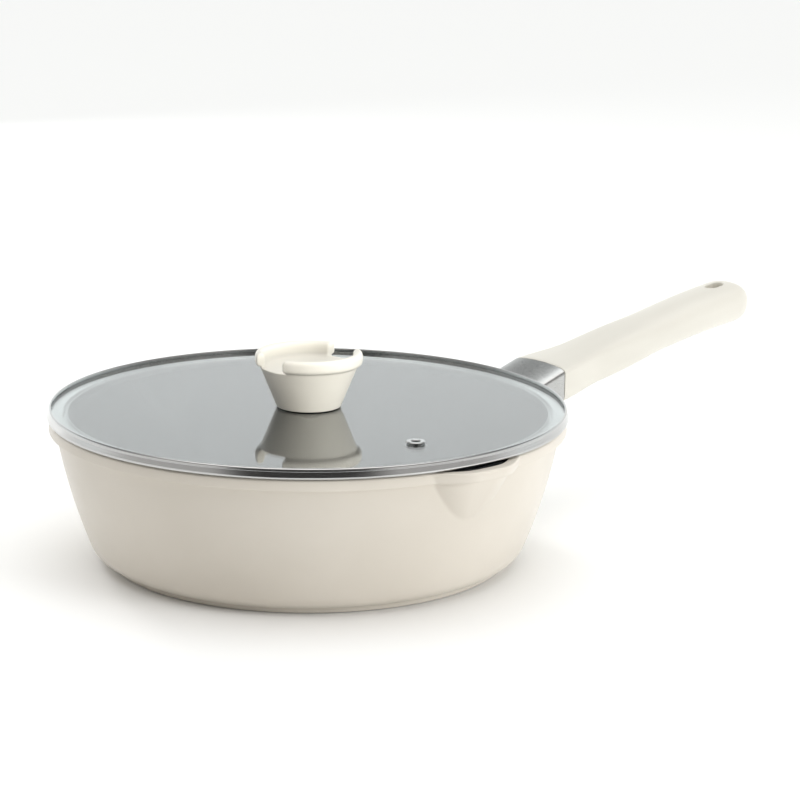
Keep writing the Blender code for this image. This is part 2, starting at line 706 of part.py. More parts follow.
def make_knob_fittings(steel, brass, rubber):
    """The stack that clamps the knob to the glass, from the insert down to the screw's head."""
    inner = KNOB_SCREW_RADIUS + CLEARANCE
    insert_bottom = KNOB_RECESS_Z + CLEARANCE
    insert_top = insert_bottom + INSERT_LENGTH
    insert = ring_profile(inner, KNOB_BORE_RADIUS - CLEARANCE, insert_bottom, insert_top)
    turned("knob_insert", insert, brass, SMALL_STEPS)
    upper_bottom = GLASS_TOP_Z + CLEARANCE
    upper_top = KNOB_RECESS_Z - CLEARANCE
    upper = ring_profile(KNOB_SEAL_BORE, KNOB_RECESS_RADIUS - CLEARANCE, upper_bottom, upper_top)
    turned("knob_seal_upper", upper, rubber, MEDIUM_STEPS)
    seal_top = GLASS_BOTTOM_Z - CLEARANCE
    seal_bottom = seal_top - KNOB_SEAL_THICKNESS
    sleeve = GLASS_HOLE_RADIUS - CLEARANCE
    lower = [
        (sleeve, GLASS_TOP_Z),
        (sleeve, seal_top),
        (KNOB_SEAL_RADIUS, seal_top),
        (KNOB_SEAL_RADIUS, seal_bottom),
        (inner, seal_bottom),
        (inner, GLASS_TOP_Z),
    ]
    turned("knob_seal_lower", lower, rubber, MEDIUM_STEPS)
    washer_top = seal_bottom - CLEARANCE
    flat_washer("knob_washer", inner, KNOB_WASHER_RADIUS, washer_top, KNOB_WASHER_THICKNESS, steel)
    spring_top = washer_top - KNOB_WASHER_THICKNESS - CLEARANCE
    split_washer("knob_lock_washer", inner, KNOB_LOCK_WASHER_RADIUS, spring_top, steel)
    head_top = spring_top - LOCK_WASHER_THICKNESS - CLEARANCE
    shank_top = insert_bottom + KNOB_SCREW_REACH
    machine_screw("knob_screw", (0.0, 0.0), head_top, shank_top, KNOB_SCREW_RADIUS, steel)


clear_scene()
parts = make_collection("saucepan_with_glass_lid")
cutters = make_collection("cutters")

cream_coating = {"color": (0.83, 0.81, 0.74), "roughness": 0.42}
cream_resin = {"color": (0.86, 0.84, 0.77), "roughness": 0.38}
brushed_steel = {"color": (0.56, 0.56, 0.55), "roughness": 0.30, "metallic": 1.0}
plain_steel = {"color": (0.62, 0.62, 0.61), "roughness": 0.25, "metallic": 1.0}
turned_brass = {"color": (0.72, 0.55, 0.28), "roughness": 0.30, "metallic": 1.0}
dark_silicone = {"color": (0.05, 0.05, 0.05), "roughness": 0.60}
clear_glass = {"color": (0.95, 0.97, 0.97), "roughness": 0.02, "transmission": 1.0}

make_pan_body(cream_coating)
make_base_plate(brushed_steel)
make_handle_ferrule(brushed_steel)
make_handle_grip(cream_resin)
make_handle_fasteners(plain_steel)
make_lid_glass(clear_glass)
make_lid_band(brushed_steel)
make_vent(brushed_steel, dark_silicone)
make_knob(cream_resin)
make_knob_fittings(plain_steel, turned_brass, dark_silicone)
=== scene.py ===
"""Looks of a 28 cm cast saute pan with a flat glass lid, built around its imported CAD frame."""

import math

import bmesh
import bpy
from mathutils import Matrix, Vector


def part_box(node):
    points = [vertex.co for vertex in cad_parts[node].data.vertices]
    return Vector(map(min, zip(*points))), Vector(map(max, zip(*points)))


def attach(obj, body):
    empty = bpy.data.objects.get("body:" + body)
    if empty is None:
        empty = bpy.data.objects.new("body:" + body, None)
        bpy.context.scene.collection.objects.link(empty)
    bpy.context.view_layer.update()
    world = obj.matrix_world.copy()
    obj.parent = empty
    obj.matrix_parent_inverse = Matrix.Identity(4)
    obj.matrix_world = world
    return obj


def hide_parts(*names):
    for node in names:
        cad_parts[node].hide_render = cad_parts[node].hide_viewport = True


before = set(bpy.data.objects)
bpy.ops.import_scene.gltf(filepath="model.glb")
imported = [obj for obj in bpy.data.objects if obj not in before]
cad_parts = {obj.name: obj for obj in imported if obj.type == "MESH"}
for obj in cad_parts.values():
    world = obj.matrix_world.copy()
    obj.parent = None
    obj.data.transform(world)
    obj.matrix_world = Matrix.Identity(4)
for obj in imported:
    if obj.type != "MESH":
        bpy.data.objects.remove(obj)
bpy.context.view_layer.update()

# Corners of the frame's pieces
pan_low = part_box("pan_body")[0]
band_low, band_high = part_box("lid_band")
glass_low, glass_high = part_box("lid_glass")
knob_low, knob_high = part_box("knob")
ferrule_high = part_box("handle_ferrule")[1]
grip_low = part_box("handle_grip")[0]
plate_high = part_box("base_plate")[1]
eyelet_low, eyelet_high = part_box("vent_eyelet")
seal_low, seal_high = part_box("knob_seal_upper")
handle_screw_low, handle_screw_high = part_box("handle_screw")

MM = 0.001

# Clearance between pieces that touch, and how close points are before they become one
GAP = 0.3 * MM
MERGE_DISTANCE = 0.002 * MM

# Main sizes, all but the pan's height and the grip's end from the frame
PAN_HEIGHT = 0.0804
RIM_RADIUS = -pan_low.x
SPOUT_REACH = -pan_low.y - RIM_RADIUS
BAND_RADIUS = band_high.x
BAND_TOP = band_high.z
SKIRT_BOTTOM = band_low.z
GLASS_TOP = glass_high.z
GLASS_BOTTOM = glass_low.z
GLASS_RADIUS = glass_high.x
KNOB_BOTTOM = knob_low.z
KNOB_TOP = knob_high.z
KNOB_RADIUS = knob_high.y
FERRULE_END = ferrule_high.x
GRIP_START = grip_low.x
GRIP_END = 0.349
PLATE_RADIUS = plate_high.x
VENT = (eyelet_low + eyelet_high) / 2
SCREW = (handle_screw_low + handle_screw_high) / 2
SCREW_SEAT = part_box("handle_flat_washer")[1].z + GAP

# Shape of the pan
RIM_BAND = 0.0058
WALL_TOP = PAN_HEIGHT - RIM_BAND
MOUTH_RADIUS = 0.1373
MOUTH_ROUND = 0.001
WALL_TOP_RADIUS = 0.1404
WALL_TOP_SLOPE = 0.17
WALL_CURVATURE = 3.51
WALL_THICKNESS = 0.0042
FLOOR = 0.005
CORNER_Z = 0.011
CORNER_RADIUS = 0.013
FOOT_RADIUS = 0.112
FOOT_HEIGHT = 0.0026
SPOUT_HALF_ANGLE = math.radians(12.5)
SPOUT_FOOT = 0.050
SPOUT_FLANK = 0.75
SPOUT_RISE = 0.9
SPOUT_RIM_CRISPNESS = 0.6
SPOUT_RIM_BLEND = 0.0025

# Shape of the handle. Places are (x, z).
TONGUE_START = (0.1372, 0.0660)
TONGUE_END = (0.2120, 0.0822)
SOCKET_START = (0.1720, 0.0736)
SOCKET_END = (0.2135, 0.0825)
FERRULE_WALL = 0.001
FERRULE_TOP_SLOPE = 0.34
FERRULE_BOTTOM_SLOPE = 0.20
JOINT_Z = 0.0754
TIP_Z = 0.1055
START_SLOPE = 0.150
END_SLOPE = 0.074
JOINT_HALF_WIDTH = 0.0222
JOINT_HALF_HEIGHT = 0.0116
JOINT_CROWN = 0.0018
JOINT_POWER = 10.0
GRIP_POWER = 2.6
GRIP_HALF_WIDTHS = (0.0172, 0.0172)
GRIP_HALF_HEIGHTS = (0.0104, 0.0128)
GRIP_SETTLE = 0.22
GRIP_EASE = 0.55
END_ROUND = 0.017
END_POWER = 2.6
HOLE_X = 0.328
HOLE_LENGTH = 0.013
HOLE_WIDTH = 0.0085

# Shape of the knob
RING_INNER = 0.0250
CONE_TOP_RADIUS = 0.0275
CONE_BASE_RADIUS = 0.0182
CONE_HEIGHT = 0.0236
NOTCH_HALF_WIDTH = 0.011
RING_BOTTOM = KNOB_BOTTOM + CONE_HEIGHT
KNOB_RECESS = 0.0165


def blend(start, end, t):
    return start + (end - start) * t


def smooth_step(t):
    t = min(max(t, 0.0), 1.0)
    return t * t * (3 - 2 * t)


def arc(centre, radius, start, end, count):
    """Points on a circle in the (radius, height) plane, angles in degrees."""
    points = []
    for i in range(count):
        angle = math.radians(blend(start, end, i / (count - 1)))
        points.append((centre[0] + radius * math.cos(angle), centre[1] + radius * math.sin(angle)))
    return points


def line(start, end, count):
    """Points from start up to, but not at, end."""
    return [tuple(blend(a, b, i / count) for a, b in zip(start, end)) for i in range(count)]


# Meshes


def mesh_object(name, verts, faces, materials, indices=None, sharp=35.0):
    """A closed mesh with its faces turned out, shaded smooth except across sharp edges."""
    mesh = bpy.data.meshes.new(name)
    mesh.from_pydata(verts, [], faces)
    for material in materials:
        mesh.materials.append(material)
    if indices:
        mesh.polygons.foreach_set("material_index", indices)
    shape = bmesh.new()
    shape.from_mesh(mesh)
    bmesh.ops.remove_doubles(shape, verts=shape.verts, dist=MERGE_DISTANCE)
    bmesh.ops.recalc_face_normals(shape, faces=shape.faces)
    shape.to_mesh(mesh)
    shape.free()
    mesh.shade_smooth()
    mesh.set_sharp_from_angle(angle=math.radians(sharp))
    obj = bpy.data.objects.new(name, mesh)
    bpy.context.scene.collection.objects.link(obj)
    return obj


def grid_faces(rings, count, closed):
    """Quads between rings of count points. A closed profile joins its last ring to its first."""
    faces = []
    pairs = rings if closed else rings - 1
    for i in range(pairs):
        k = (i + 1) % rings
        for j in range(count):
            m = (j + 1) % count
            faces.append((i * count + j, i * count + m, k * count + m, k * count + j))
    return faces


def lathe(name, profile, materials, steps=256, closed=True, warp=None, slot_of=None, sharp=35.0):
    """Turns a profile about Z, in even steps or at a list of angles.

    An open profile's ends are on the axis. warp moves each point.
    """
    angles = steps
    if isinstance(steps, int):
        angles = [2 * math.pi * j / steps for j in range(steps)]
    steps = len(angles)
    verts = []
    for radius, z in profile:
        for angle in angles:
            r = radius + (warp(angle, radius, z) if warp and radius > 0 else 0.0)
            verts.append((r * math.cos(angle), r * math.sin(angle), z))
    faces = grid_faces(len(profile), steps, closed)
    indices = [slot_of(i // steps) for i in range(len(faces))] if slot_of else None
    return mesh_object(name, verts, faces, materials, indices, sharp)


def loft(name, sections, materials, sharp=35.0):
    """A closed solid through rings of points, with flat ends."""
    count = len(sections[0])
    verts = [point for section in sections for point in section]
    faces = grid_faces(len(sections), count, False)
    faces.append(tuple(range(count - 1, -1, -1)))
    faces.append(tuple(range((len(sections) - 1) * count, len(sections) * count)))
    return mesh_object(name, verts, faces, materials, None, sharp)


def cut(obj, cutter, operation="DIFFERENCE", sharp=35.0):
    """Applies a Boolean and removes the cutter."""
    boolean = obj.modifiers.new("Boolean", "BOOLEAN")
    boolean.operation = operation
    boolean.object = cutter
    boolean.solver = "EXACT"
    graph = bpy.context.evaluated_depsgraph_get()
    result = bpy.data.meshes.new_from_object(obj.evaluated_get(graph))
    obj.modifiers.clear()
    old = obj.data
    obj.data = result
    bpy.data.meshes.remove(old)
    bpy.data.objects.remove(cutter, do_unlink=True)
    obj.data.shade_smooth()
    obj.data.set_sharp_from_angle(angle=math.radians(sharp))


def soften(obj, voxel, passes, above):
    """Remeshes a piece evenly and rounds all its edges higher than a given height."""
    remesh = obj.modifiers.new("Remesh", "REMESH")
    remesh.mode = "VOXEL"
    remesh.voxel_size = voxel
    graph = bpy.context.evaluated_depsgraph_get()
    result = bpy.data.meshes.new_from_object(obj.evaluated_get(graph))
    obj.modifiers.clear()
    shape = bmesh.new()
    shape.from_mesh(result)
    upper = [vert for vert in shape.verts if vert.co.z > above]
    for _ in range(passes):
        bmesh.ops.smooth_vert(
            shape, verts=upper, factor=0.5, use_axis_x=True, use_axis_y=True, use_axis_z=True
        )
    shape.to_mesh(result)
    shape.free()
    obj.data = result
    result.shade_smooth()


# Materials


class Nodes:
    """Small helper that builds a material's node tree around its Principled shader."""

    def __init__(self, name, **settings):
        self.material = bpy.data.materials.new(name)
        self.material.use_nodes = True
        self.tree = self.material.node_tree
        self.shader = self.tree.nodes["Principled BSDF"]
        for key, value in settings.items():
            socket = self.shader.inputs[key.replace("_", " ").title().replace("Ior", "IOR")]
            socket.default_value = (*value, 1.0) if isinstance(value, tuple) else value

    def node(self, kind, **inputs):
        made = self.tree.nodes.new("ShaderNode" + kind)
        for key, value in inputs.items():
            self.feed(made.inputs[key.replace("_", " ")], value)
        return made

    def feed(self, socket, value):
        if isinstance(value, bpy.types.NodeSocket):
            self.tree.links.new(value, socket)
        else:
            socket.default_value = value

    def position(self):
        return self.node("TexCoord").outputs["Object"]

    def scaled(self, vector, scale):
        made = self.node("VectorMath", Vector=vector)
        made.operation = "MULTIPLY"
        made.inputs[1].default_value = scale
        return made.outputs[0]

    def turned_streaks(self, along, across):
        """Coordinates that change slowly round Z and fast across it, for turned metal."""
        position = self.position()
        parts = self.node("SeparateXYZ", Vector=position)
        flat = self.scaled(position, (1.0, 1.0, 0.0))
        direction = self.node("VectorMath")
        direction.operation = "NORMALIZE"
        self.feed(direction.inputs[0], flat)
        length = self.node("VectorMath")
        length.operation = "LENGTH"
        self.feed(length.inputs[0], flat)
        spread = self.node("Math")
        spread.operation = "ADD"
        self.feed(spread.inputs[0], length.outputs["Value"])
        self.feed(spread.inputs[1], parts.outputs["Z"])
        height = self.node("Math")
        height.operation = "MULTIPLY"
        self.feed(height.inputs[0], spread.outputs[0])
        height.inputs[1].default_value = across
        around = self.scaled(direction.outputs[0], (along, along, 0.0))
        parts_around = self.node("SeparateXYZ", Vector=around)
        joined = self.node(
            "CombineXYZ",
            X=parts_around.outputs["X"],
            Y=parts_around.outputs["Y"],
            Z=height.outputs[0],
        )
        return joined.outputs[0]

    def noise(self, vector, scale, detail=2.0, roughness=0.5):
        made = self.node("TexNoise", Vector=vector, Scale=scale, Detail=detail, Roughness=roughness)
        return made.outputs["Fac"]

    def remap(self, value, from_low, from_high, to_low, to_high):
        made = self.node("MapRange", Value=value)
        for key, number in (
            ("From Min", from_low),
            ("From Max", from_high),
            ("To Min", to_low),
            ("To Max", to_high),
        ):
            made.inputs[key].default_value = number
        return made.outputs[0]

    def mixed(self, factor, first, second):
        made = self.node("Mix")
        made.data_type = "RGBA"
        self.feed(made.inputs["Factor"], factor)
        made.inputs["A"].default_value = (*first, 1.0)
        made.inputs["B"].default_value = (*second, 1.0)
        return made.outputs["Result"]

    def bump(self, height, strength, distance, normal=None):
        made = self.node("Bump", Strength=strength, Distance=distance, Height=height)
        if normal:
            self.feed(made.inputs["Normal"], normal)
        return made.outputs[0]

    def set(self, **links):
        for key, value in links.items():
            self.feed(self.shader.inputs[key.replace("_", " ").title()], value)
        return self.material


def cream_enamel():
    """Satin sprayed coating: faint orange peel, fine grain and a slow shift of tone."""
    nodes = Nodes("cream_enamel", coat_weight=0.25, coat_roughness=0.22)
    place = nodes.position()
    tone = nodes.remap(nodes.noise(place, 14.0, 3.0), 0.35, 0.65, 0.0, 1.0)
    color = nodes.mixed(tone, (0.634, 0.584, 0.509), (0.664, 0.614, 0.539))
    rough = nodes.remap(nodes.noise(place, 60.0, 3.0), 0.3, 0.7, 0.34, 0.42)
    peel = nodes.bump(nodes.noise(place, 420.0, 2.0), 0.08, 0.0004)
    grain = nodes.bump(nodes.noise(place, 2600.0, 2.0), 0.06, 0.0001, peel)
    return nodes.set(base_color=color, roughness=rough, normal=grain)


def dark_nonstick():
    """Charcoal non-stick coating with fine light flecks."""
    nodes = Nodes("dark_nonstick")
    place = nodes.position()
    fleck = nodes.remap(nodes.noise(place, 2000.0, 1.0), 0.66, 0.74, 0.0, 1.0)
    color = nodes.mixed(fleck, (0.055, 0.055, 0.057), (0.15, 0.15, 0.15))
    rough = nodes.remap(nodes.noise(place, 90.0, 3.0), 0.3, 0.7, 0.34, 0.46)
    peel = nodes.bump(nodes.noise(place, 700.0, 2.0), 0.15, 0.0003)
    return nodes.set(base_color=color, roughness=rough, normal=peel)


def cream_resin():
    """Moulded resin with a soft satin face and very slight flow marks."""
    nodes = Nodes("cream_resin", coat_weight=0.1, coat_roughness=0.35)
    place = nodes.position()
    flow = nodes.noise(nodes.scaled(place, (9.0, 34.0, 34.0)), 1.0, 3.0)
    color = nodes.mixed(
        nodes.remap(flow, 0.35, 0.65, 0.0, 1.0), (0.765, 0.737, 0.665), (0.795, 0.767, 0.695)
    )
    rough = nodes.remap(nodes.noise(place, 80.0, 3.0), 0.3, 0.7, 0.38, 0.46)
    skin = nodes.bump(nodes.noise(place, 1800.0, 3.0), 0.10, 0.00012)
    return nodes.set(base_color=color, roughness=rough, normal=skin)


def toned(color, factor):
    return tuple(min(1.0, factor * c) for c in color)


def turned_steel(name, color, low, high):
    """Metal with fine lines round its axis, of a roughness between low and high."""
    nodes = Nodes(name, metallic=1.0)
    streaks = nodes.noise(nodes.turned_streaks(5.0, 5200.0), 1.0, 4.0, 0.6)
    tone = nodes.mixed(streaks, toned(color, 0.9), toned(color, 1.1))
    rough = nodes.remap(streaks, 0.3, 0.7, low, high)
    lines = nodes.bump(streaks, 0.35, 0.00004)
    return nodes.set(base_color=tone, roughness=rough, normal=lines)


def brushed_steel(name, color, low, high):
    """Steel brushed along X, with a light mottle."""
    nodes = Nodes(name, metallic=1.0)
    place = nodes.position()
    streaks = nodes.noise(nodes.scaled(place, (160.0, 3600.0, 3600.0)), 1.0, 4.0, 0.6)
    mottle = nodes.noise(place, 260.0, 2.0)
    tone = nodes.mixed(mottle, toned(color, 0.85), toned(color, 1.12))
    rough = nodes.remap(streaks, 0.3, 0.7, low, high)
    lines = nodes.bump(streaks, 0.4, 0.00005)
    return nodes.set(base_color=tone, roughness=rough, normal=lines)


def clear_glass():
    """Tempered glass: very slight waves, a trace of green and a film of handling marks."""
    nodes = Nodes("clear_glass", transmission_weight=1.0, ior=1.52)
    place = nodes.position()
    color = nodes.mixed(nodes.noise(place, 9.0, 2.0), (0.93, 0.965, 0.955), (0.95, 0.975, 0.97))
    film = nodes.remap(nodes.noise(place, 22.0, 4.0, 0.7), 0.55, 0.8, 0.0, 0.05)
    waves = nodes.bump(nodes.noise(place, 26.0, 1.0), 0.03, 0.0004)
    return nodes.set(base_color=color, roughness=film, normal=waves)


def soft_rubber():
    """Dark matt silicone with a fine skin."""
    nodes = Nodes("dark_silicone")
    place = nodes.position()
    color = nodes.mixed(nodes.noise(place, 300.0, 3.0), (0.028, 0.028, 0.028), (0.05, 0.05, 0.05))
    rough = nodes.remap(nodes.noise(place, 500.0, 2.0), 0.3, 0.7, 0.5, 0.65)
    skin = nodes.bump(nodes.noise(place, 2500.0, 2.0), 0.2, 0.0001)
    return nodes.set(base_color=color, roughness=rough, normal=skin)


# Pan


def wall_radius(z):
    depth = WALL_TOP - z
    return WALL_TOP_RADIUS - WALL_TOP_SLOPE * depth - WALL_CURVATURE / 2 * depth * depth


def wall_points(start, end, count, inset=0.0):
    """Points on the wall between two heights, the second left out."""
    heights = [blend(start, end, i / count) for i in range(count)]
    return [(wall_radius(z) - inset, z) for z in heights]


def pan_inner_profile():
    """Up the inner side, from the centre of the floor to the mouth."""
    round_radius = 16 * MM
    floor_edge = wall_radius(FLOOR + round_radius) - WALL_THICKNESS - round_radius
    points = line((0.0, FLOOR), (floor_edge, FLOOR), 14)
    points += arc((floor_edge, FLOOR + round_radius), round_radius, -90, -17, 16)
    above_round = points[-1][1] + 2 * MM
    points += wall_points(above_round, WALL_TOP, 17, WALL_THICKNESS)
    points.append((wall_radius(WALL_TOP) - WALL_THICKNESS, WALL_TOP))
    step = 0.4 * MM
    step_height = 2.4 * MM
    above_step = (MOUTH_RADIUS - step, WALL_TOP + step_height)
    points += line(above_step, (MOUTH_RADIUS, PAN_HEIGHT - MOUTH_ROUND), 3)
    return points


def pan_rim_profile():
    """Over the mouth's edge, down the rim band and in under it, to the top of the wall."""
    rim_round = 1.2 * MM
    under_round = 0.5 * MM
    lean = 0.5 * MM
    fairing = 0.1 * MM
    hollow = 1.3 * MM
    points = arc((MOUTH_RADIUS + MOUTH_ROUND, PAN_HEIGHT - MOUTH_ROUND), MOUTH_ROUND, 180, 90, 7)
    points += arc((RIM_RADIUS - lean - rim_round, PAN_HEIGHT - rim_round), rim_round, 90, 10, 8)
    lip = (RIM_RADIUS - lean + fairing, PAN_HEIGHT - rim_round - 5 * fairing)
    points += line(lip, (RIM_RADIUS, WALL_TOP + under_round), 3)
    points += arc((RIM_RADIUS - under_round, WALL_TOP + under_round), under_round, 0, -78, 6)
    hollow_z = WALL_TOP - hollow - fairing
    points += arc((wall_radius(hollow_z) + hollow, hollow_z), hollow, 100, 180, 6)
    return points


def pan_wall_profile():
    """Down the wall and round the bottom corner to the foot and the plate's recess."""
    below_rim = 1.8 * MM
    foot_round = 0.6 * MM
    foot_edge = 0.7 * MM
    foot_drop = 0.5 * MM
    points = wall_points(WALL_TOP - below_rim, CORNER_Z, 60)
    slope = WALL_TOP_SLOPE + WALL_CURVATURE * (WALL_TOP - CORNER_Z)
    angle = math.atan(slope)
    centre = (
        wall_radius(CORNER_Z) - CORNER_RADIUS * math.cos(angle),
        CORNER_Z + CORNER_RADIUS * math.sin(angle),
    )
    points += arc(centre, CORNER_RADIUS, -math.degrees(angle), -80, 14)
    points += arc((FOOT_RADIUS + foot_round, FOOT_HEIGHT - foot_drop), foot_round, 90, 180, 4)
    points += arc((FOOT_RADIUS - foot_edge, foot_edge), foot_edge, 0, -90, 5)
    recess = PLATE_RADIUS + GAP
    recess_top = plate_high.z + GAP
    points += [(recess + GAP, 0.0), (recess, GAP), (recess, recess_top), (0.0, recess_top)]
    return points


def spout_push(angle, radius, z):
    """How far the wall stands out in the two funnel-shaped spouts, crisper below the rim."""
    height = (z - SPOUT_FOOT) / (PAN_HEIGHT - SPOUT_FOOT)
    if height <= 0:
        return 0.0
    half_angle = SPOUT_HALF_ANGLE * math.sqrt(min(height, 1.0))
    away = abs((angle % math.pi) - math.pi / 2)
    t = min(max((1 - away / half_angle) / SPOUT_FLANK, 0.0), 1.0)
    rim = smooth_step((z - WALL_TOP + SPOUT_RIM_BLEND) / SPOUT_RIM_BLEND)
    crisp = 1 - (1 - t) ** 2
    at_rim = blend(smooth_step(t), crisp, SPOUT_RIM_CRISPNESS)
    return SPOUT_REACH * height**SPOUT_RISE * blend(crisp, at_rim, rim)


def pan_angles():
    """Columns round the pan, much closer together across the spouts."""
    fine = math.radians(15)
    near = 120
    far = 100
    angles = []
    for spout in (math.pi / 2, 3 * math.pi / 2):
        angles += [spout + blend(-fine, fine, i / near) for i in range(near)]
        angles += [spout + blend(fine, math.pi - fine, i / far) for i in range(far)]
    return angles


def tongue(*ends):
    """A rounded bar between two (x, z) places, as of the cast tongue that carries the handle."""
    half_width = 10 * MM
    half_height = 4.6 * MM
    squareness = 0.22
    count = 48
    sections = []
    for x, z in ends:
        points = []
        for i in range(count):
            angle = 2 * math.pi * (i + 0.5) / count
            c, s = math.cos(angle), math.sin(angle)
            across = math.copysign(abs(c) ** squareness, c)
            up = math.copysign(abs(s) ** squareness, s)
            points.append((x, half_width * across, z + half_height * up))
        sections.append(points)
    return sections


def make_pan(enamel, nonstick):
    inner = pan_inner_profile()
    profile = inner + pan_rim_profile() + pan_wall_profile()
    dark_rings = len(inner) + 2

    def slot_of(ring):
        return 1 if ring < dark_rings else 0

    coats = [enamel, nonstick]
    pan = lathe("pan_shell", profile, coats, pan_angles(), False, spout_push, slot_of, sharp=50.0)
    arm = loft("tongue", tongue(TONGUE_START, TONGUE_END), [enamel])
    cut(pan, arm, "UNION", sharp=50.0)
    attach(pan, "pan")
    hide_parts("pan_body")


def make_plate(steel):
    """Steel disc with shallow turned rings in its face."""
    edge = 0.3 * MM
    groove_depth = 0.25 * MM
    groove_mouth = 0.6 * MM
    groove_floor = 0.3 * MM
    grooves = 8
    profile = [(0.0, plate_high.z), (PLATE_RADIUS, plate_high.z), (PLATE_RADIUS, edge)]
    profile.append((PLATE_RADIUS - edge, 0.0))
    for i in range(grooves, 0, -1):
        radius = PLATE_RADIUS * i / (grooves + 1)
        profile += [(radius + groove_mouth, 0.0), (radius + groove_floor, groove_depth)]
        profile += [(radius - groove_floor, groove_depth), (radius - groove_mouth, 0.0)]
    profile.append((0.0, 0.0))
    plate = lathe("plate_disc", profile, [steel], 256, False)
    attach(plate, "pan")
    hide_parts("base_plate")


# Handle


def section_angles():
    """Directions round a section, closer together at its four corners."""
    count = 12
    crowding = 1.8
    angles = []
    for quarter in range(4):
        corner = 90 * quarter + 45
        for k in range(count):
            angles.append(math.radians(corner - 45 * (1 - k / count) ** crowding))
        for k in range(count):
            angles.append(math.radians(corner + 45 * (k / count) ** crowding))
    return angles


SECTION_ANGLES = section_angles()


def handle_section(x, z, half_width, half_height, power, crown):
    """A rounded box or oval across the handle. The crown lowers its corners below its middle."""
    points = []
    for angle in SECTION_ANGLES:
        c, s = math.cos(angle), math.sin(angle)
        reach = (abs(c) ** power + abs(s) ** power) ** (-1 / power)
        across = c * reach
        points.append((x, half_width * across, z + (half_height - crown * across**2) * s * reach))
    return points


def ferrule_section(x, inset):
    back = FERRULE_END - x
    top = JOINT_Z + JOINT_HALF_HEIGHT - FERRULE_TOP_SLOPE * back
    bottom = JOINT_Z - JOINT_HALF_HEIGHT - FERRULE_BOTTOM_SLOPE * back
    half_width = JOINT_HALF_WIDTH - inset
    half_height = (top - bottom) / 2 - inset
    return handle_section(x, (top + bottom) / 2, half_width, half_height, JOINT_POWER, JOINT_CROWN)


def make_ferrule(steel):
    """A steel sleeve whose near end follows the pan's wall."""
    below_rim = 1.4 * MM
    edge = 0.25 * MM
    count = 12

    def to_wall(points):
        fitted = []
        for _, y, z in points:
            reach = wall_radius(min(z, WALL_TOP - below_rim)) + GAP
            fitted.append((math.sqrt(reach**2 - y**2), y, z))
        return fitted

    start = WALL_TOP_RADIUS
    stations = [blend(start, FERRULE_END, i / count) for i in range(1, count + 1)]
    rings = [to_wall(ferrule_section(start, 0.0))]
    rings += [ferrule_section(x, 0.0) for x in stations[:-1]]
    rings += [ferrule_section(FERRULE_END - edge, 0.0), ferrule_section(FERRULE_END, edge)]
    rings += [ferrule_section(FERRULE_END, FERRULE_WALL)]
    rings += [ferrule_section(x, FERRULE_WALL) for x in reversed(stations[:-1])]
    rings += [to_wall(ferrule_section(start, FERRULE_WALL))]
    verts = [point for ring in rings for point in ring]
    faces = grid_faces(len(rings), len(SECTION_ANGLES), True)
    sleeve = mesh_object("ferrule_sleeve", verts, faces, [steel])
    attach(sleeve, "pan")
    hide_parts("handle_ferrule")


def grip_centre_z(x):
    length = GRIP_END - FERRULE_END
    t = (x - FERRULE_END) / length
    return (
        JOINT_Z * (2 * t**3 - 3 * t**2 + 1)
        + START_SLOPE * length * (t**3 - 2 * t**2 + t)
        + TIP_Z * (3 * t**2 - 2 * t**3)
        + END_SLOPE * length * (t**3 - t**2)
    )


def grip_shape(x):
    """Half width, half height, squareness and crown of the grip at a station."""
    t = (x - FERRULE_END) / (GRIP_END - FERRULE_END)
    settle = smooth_step(t / GRIP_SETTLE)
    ease = smooth_step(t / GRIP_EASE)
    half_width = blend(JOINT_HALF_WIDTH, blend(*GRIP_HALF_WIDTHS, t), settle)
    half_height = blend(JOINT_HALF_HEIGHT, blend(*GRIP_HALF_HEIGHTS, t), settle)
    to_end = (GRIP_END - x) / END_ROUND
    if to_end < 1:
        half_width *= (1 - (1 - to_end) ** END_POWER) ** (1 / END_POWER)
        half_height *= math.sqrt(1 - (1 - to_end) ** 3)
    return half_width, half_height, blend(JOINT_POWER, GRIP_POWER, ease), JOINT_CROWN * (1 - ease)


def grip_surface_z(x, y, side):
    """Height of the grip's top (side 1) or underside (side -1) over a point."""
    half_width, half_height, power, _ = grip_shape(x)
    share = min(abs(y) / half_width, 1.0)
    return grip_centre_z(x) + side * half_height * (1 - share**power) ** (1 / power)


def fillet_cutter(name, outline_at, height_of):
    """A vertical cutter whose ends flare, to round a hole's edges where they meet the surface."""
    radius = 0.9 * MM
    beyond = -8 * MM
    turns = [math.pi / 2 * i / 6 for i in range(7)]
    flare = [(radius * (1 - math.cos(turn)), radius * (1 - math.sin(turn))) for turn in turns]
    flare.append((radius, beyond))
    rings = []
    for out, depth in reversed(flare):
        rings.append([(x, y, height_of(x, y, -1) + depth) for x, y in outline_at(out)])
    for out, depth in flare:
        rings.append([(x, y, height_of(x, y, 1) - depth) for x, y in outline_at(out)])
    return loft(name, rings, [])


def hanging_hole_cutter():
    def outline_at(out):
        radius = HOLE_WIDTH / 2 + out
        half_run = (HOLE_LENGTH - HOLE_WIDTH) / 2
        points = arc((HOLE_X + half_run, 0.0), radius, -90, 90, 17)
        return points + arc((HOLE_X - half_run, 0.0), radius, 90, 270, 17)

    return fillet_cutter("hole_cutter", outline_at, grip_surface_z)


